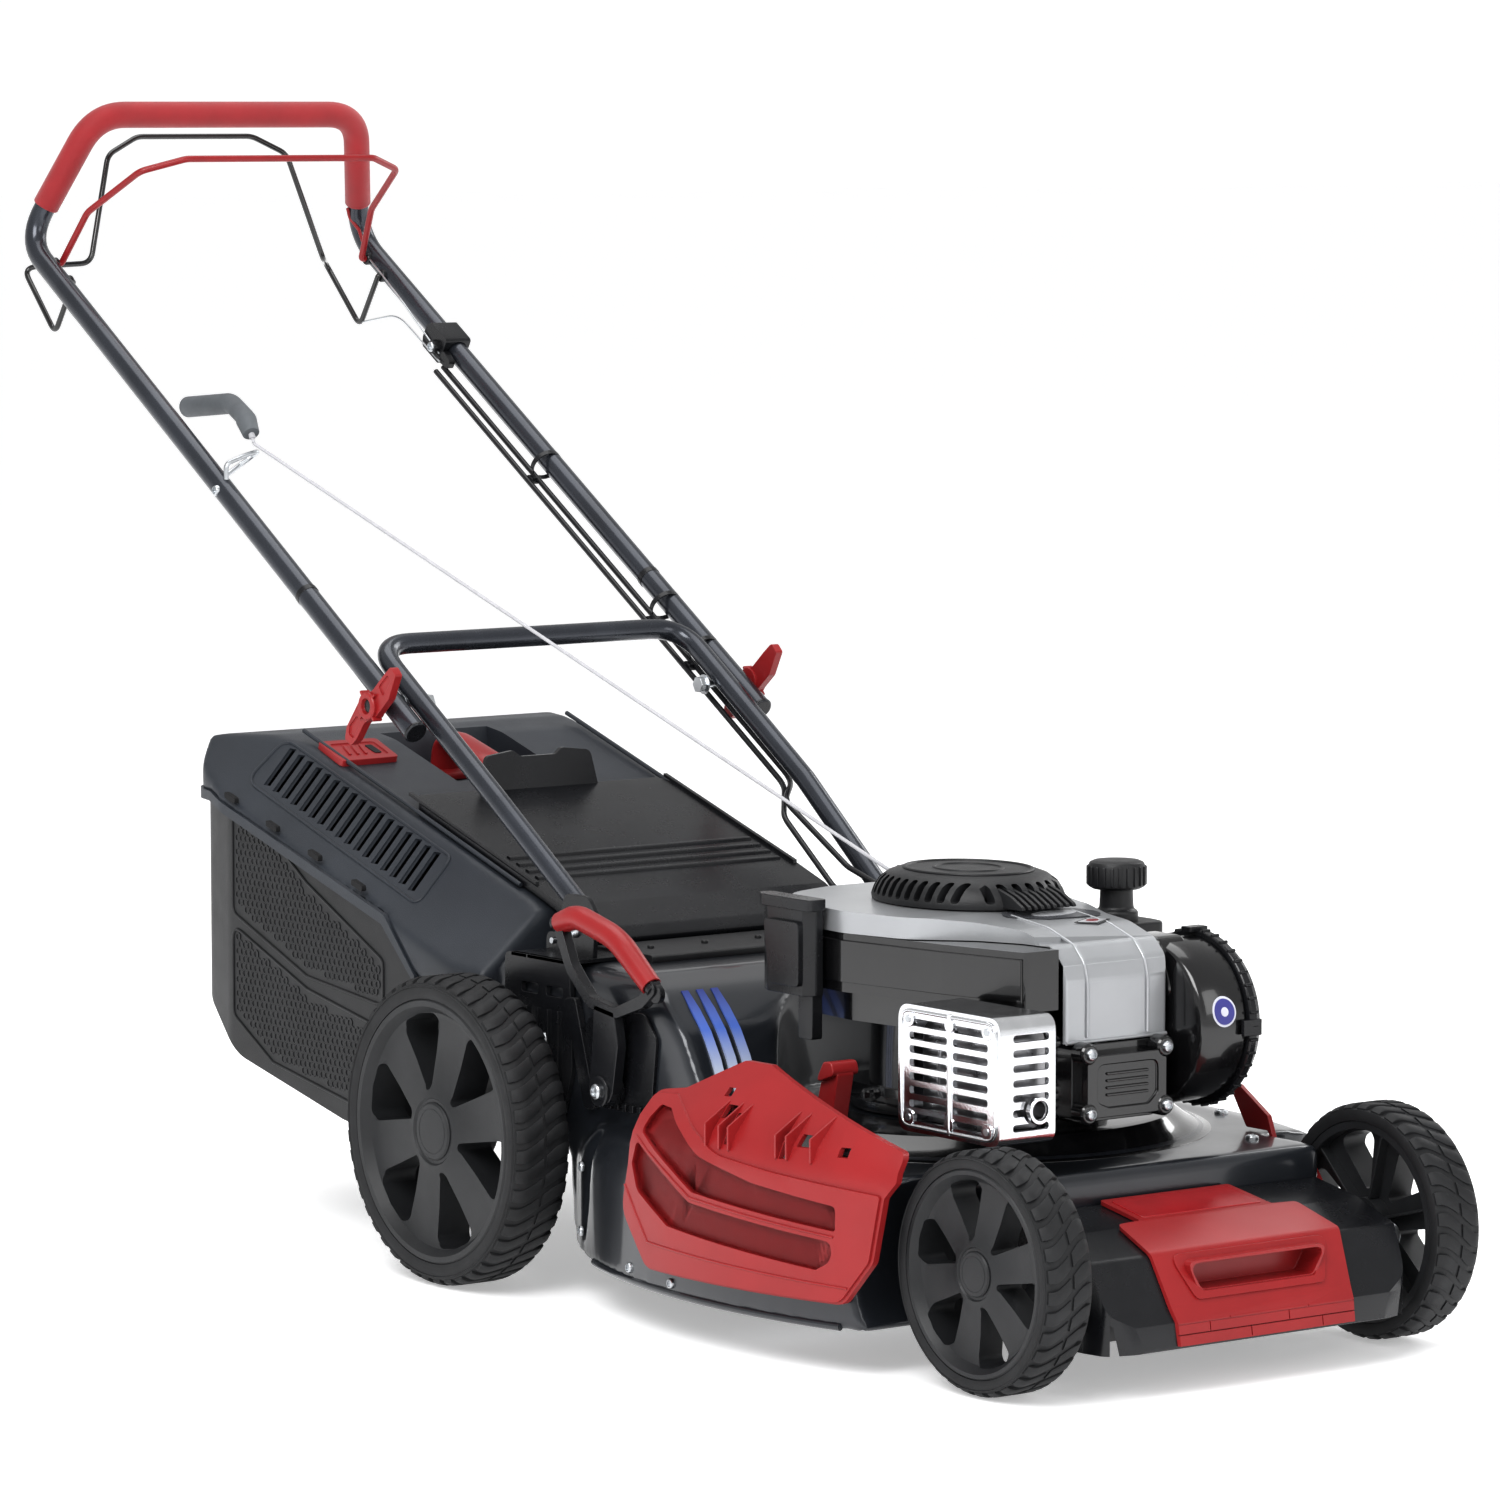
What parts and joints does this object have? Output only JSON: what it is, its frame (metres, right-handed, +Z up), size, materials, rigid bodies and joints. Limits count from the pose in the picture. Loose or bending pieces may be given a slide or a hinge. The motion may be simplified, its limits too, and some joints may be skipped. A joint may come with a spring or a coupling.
{
  "type": "push lawn mower",
  "caption": "Walk-behind petrol lawn mower with domed deck, vertical-shaft engine, folding bail handle, rear grass box, side outlet cover and lever-set cutting height",
  "frame": {"origin": "on the ground under the middle of the bounding box", "axes": "+Z up, -Y toward the front of the mower, +X toward the operator's left"},
  "size_m": [0.606, 1.6832, 1.0531],
  "materials": {
    "deck_paint": "charcoal gloss paint",
    "black_plastic": "satin moulded",
    "gloss_black": "gloss black",
    "red_plastic": "satin moulded red",
    "grip_foam": "soft red sleeve",
    "red_steel": "red coated wire",
    "silver_plastic": "metallic silver",
    "cast_metal": "bright cast",
    "steel": "zinc plated",
    "tube_paint": "dark metallic coat",
    "catcher_grey": "blue-grey moulded",
    "tyre": "moulded tread",
    "rim_plastic": "satin moulded",
    "grip_rubber": "grey rubber",
    "rope": "braided cord"
  },
  "bodies": {
    "deck": {"deck_shell": "deck_paint", "front_bumper": "black_plastic", "front_panel": "red_plastic", "side_trim": "red_plastic", "engine_block": "gloss_black", "valve_cover": "gloss_black", "engine_cowl": "silver_plastic", "blower_housing": "gloss_black", "vent_dome": "black_plastic", "fuel_tank": "black_plastic", "filter_housing": "gloss_black", "filter_cover": "black_plastic", "muffler": "cast_metal", "muffler_guard": "cast_metal", "brake_bracket": "black_plastic", "handle_bracket_right": "gloss_black", "handle_bracket_left": "gloss_black", "lower_handle": "tube_paint", "rear_flap_pin": "steel", "side_cover_pin": "steel", "lever_pin": "steel", "fold_bolt_right": "steel", "fold_bolt_left": "steel", "starter_rope": "rope", "stop_cable": "black_plastic", "drive_cable": "black_plastic"},
    "fuel_cap": {"fuel_cap": "black_plastic"},
    "starter_pulley": {"starter_pulley": "black_plastic"},
    "spindle": {"crankshaft": "steel", "blade": "steel", "blade_bolt": "steel"},
    "rear_flap": {"rear_flap": "black_plastic"},
    "side_cover": {"side_cover": "red_plastic"},
    "cover_latch": {"cover_latch": "red_plastic"},
    "catcher": {"catcher_lid": "catcher_grey", "catcher_base": "black_plastic", "catcher_handle": "red_plastic"},
    "fill_indicator": {"fill_indicator": "red_plastic"},
    "front_axle": {"front_axle": "steel"},
    "rear_axle": {"rear_axle": "steel"},
    "front_right_wheel": {"front_right_tyre": "tyre", "front_right_rim": "rim_plastic"},
    "front_left_wheel": {"front_left_tyre": "tyre", "front_left_rim": "rim_plastic"},
    "rear_right_wheel": {"rear_right_tyre": "tyre", "rear_right_rim": "rim_plastic"},
    "rear_left_wheel": {"rear_left_tyre": "tyre", "rear_left_rim": "rim_plastic"},
    "height_lever": {"height_lever": "black_plastic", "lever_grip": "red_plastic"},
    "upper_handle": {"upper_handle": "tube_paint", "foam_grip": "grip_foam", "cable_clamp": "black_plastic", "rope_guide": "steel", "rope_end": "rope"},
    "stop_bail": {"stop_bail": "gloss_black"},
    "drive_bail": {"drive_bail": "red_steel"},
    "starter_grip": {"starter_grip": "grip_rubber"},
    "fold_clamp_right": {"fold_clamp_right": "red_plastic"},
    "fold_clamp_left": {"fold_clamp_left": "red_plastic"}
  },
  "joints": [
    {"name": "rear_axle_turn", "type": "hinge", "parent": "deck", "child": "rear_axle", "pos_m": [0, -0.09858, 0.1354], "axis": [1, 0, 0], "range_deg": [-33, 28]},
    {"name": "front_axle_turn", "type": "hinge", "parent": "deck", "child": "front_axle", "pos_m": [0, -0.78858, 0.098], "axis": [1, 0, 0], "range_deg": [-33.5, 28.5]},
    {"name": "height_lever_turn", "type": "hinge", "parent": "deck", "child": "height_lever", "pos_m": [-0.231, -0.22058, 0.19], "axis": [1, 0, 0], "range_deg": [-27, 23]},
    {"name": "front_right_roll", "type": "hinge", "parent": "front_axle", "child": "front_right_wheel", "pos_m": [-0.212, -0.74058, 0.1016], "axis": [1, 0, 0], "continuous": true},
    {"name": "front_left_roll", "type": "hinge", "parent": "front_axle", "child": "front_left_wheel", "pos_m": [0.212, -0.74058, 0.1016], "axis": [1, 0, 0], "continuous": true},
    {"name": "rear_right_roll", "type": "hinge", "parent": "rear_axle", "child": "rear_right_wheel", "pos_m": [-0.272, -0.05058, 0.139], "axis": [1, 0, 0], "continuous": true},
    {"name": "rear_left_roll", "type": "hinge", "parent": "rear_axle", "child": "rear_left_wheel", "pos_m": [0.272, -0.05058, 0.139], "axis": [1, 0, 0], "continuous": true},
    {"name": "handle_fold", "type": "hinge", "parent": "deck", "child": "upper_handle", "pos_m": [0, 0.16342, 0.5], "axis": [1, 0, 0], "range_deg": [0, 136], "deforming": ["starter_rope", "stop_cable", "drive_cable"]},
    {"name": "stop_bail_turn", "type": "hinge", "parent": "upper_handle", "child": "stop_bail", "pos_m": [0, 0.74942, 0.876], "axis": [1, 0, 0], "range_deg": [0, 17], "stiffness_Nm_per_rad": 1.5, "springref_deg": -17.19},
    {"name": "drive_bail_turn", "type": "hinge", "parent": "upper_handle", "child": "drive_bail", "pos_m": [0, 0.77642, 0.893], "axis": [1, 0, 0], "range_deg": [-30, 0], "stiffness_Nm_per_rad": 1.5, "springref_deg": 17.19},
    {"name": "starter_pull", "type": "slide", "parent": "upper_handle", "child": "starter_grip", "axis": [0, 0.92, 0.3919], "range_m": [0, 0.28], "deforming": ["rope_end"]},
    {"name": "starter_pulley_turn", "type": "hinge", "parent": "deck", "child": "starter_pulley", "pos_m": [0, -0.44058, 0.375], "axis": [0, 0, 1], "range_deg": [0, 446]},
    {"name": "blade_turn", "type": "hinge", "parent": "deck", "child": "spindle", "pos_m": [0, -0.44058, 0.06], "axis": [0, 0, 1], "continuous": true},
    {"name": "fuel_cap_turn", "type": "hinge", "parent": "deck", "child": "fuel_cap", "pos_m": [0.114, -0.50458, 0.385], "axis": [0, 0, 1], "continuous": true},
    {"name": "rear_flap_turn", "type": "hinge", "parent": "deck", "child": "rear_flap", "pos_m": [0, -0.07258, 0.304], "axis": [1, 0, 0], "range_deg": [0, 68]},
    {"name": "side_cover_turn", "type": "hinge", "parent": "deck", "child": "side_cover", "pos_m": [-0.246, -0.50908, 0.2005], "axis": [0, 0.9978, 0.0659], "range_deg": [0, 60]},
    {"name": "cover_latch_turn", "type": "hinge", "parent": "deck", "child": "cover_latch", "pos_m": [-0.189, -0.48958, 0.183], "axis": [0, 1, 0], "range_deg": [0, 20]},
    {"name": "catcher_lift_off", "type": "slide", "parent": "deck", "child": "catcher", "axis": [0, 0.9579, 0.2873], "range_m": [0, 0.3]},
    {"name": "fill_indicator_turn", "type": "hinge", "parent": "catcher", "child": "fill_indicator", "pos_m": [-0.124, 0.30742, 0.432], "axis": [1, 0, 0], "range_deg": [0, 20]},
    {"name": "fold_clamp_right_turn", "type": "hinge", "parent": "deck", "child": "fold_clamp_right", "pos_m": [-0.218, 0.16342, 0.5], "axis": [1, 0, 0], "range_deg": [0, 90]},
    {"name": "fold_clamp_left_turn", "type": "hinge", "parent": "deck", "child": "fold_clamp_left", "pos_m": [0.218, 0.16342, 0.5], "axis": [1, 0, 0], "range_deg": [0, 90]}
  ],
  "couplings": [
    {"joint": "front_axle_turn", "follows": "rear_axle_turn", "ratio": 1},
    {"joint": "height_lever_turn", "follows": "rear_axle_turn", "ratio": 0.8},
    {"joint": "starter_pulley_turn", "follows": "starter_pull", "rad_per_m": 27.778}
  ]
}
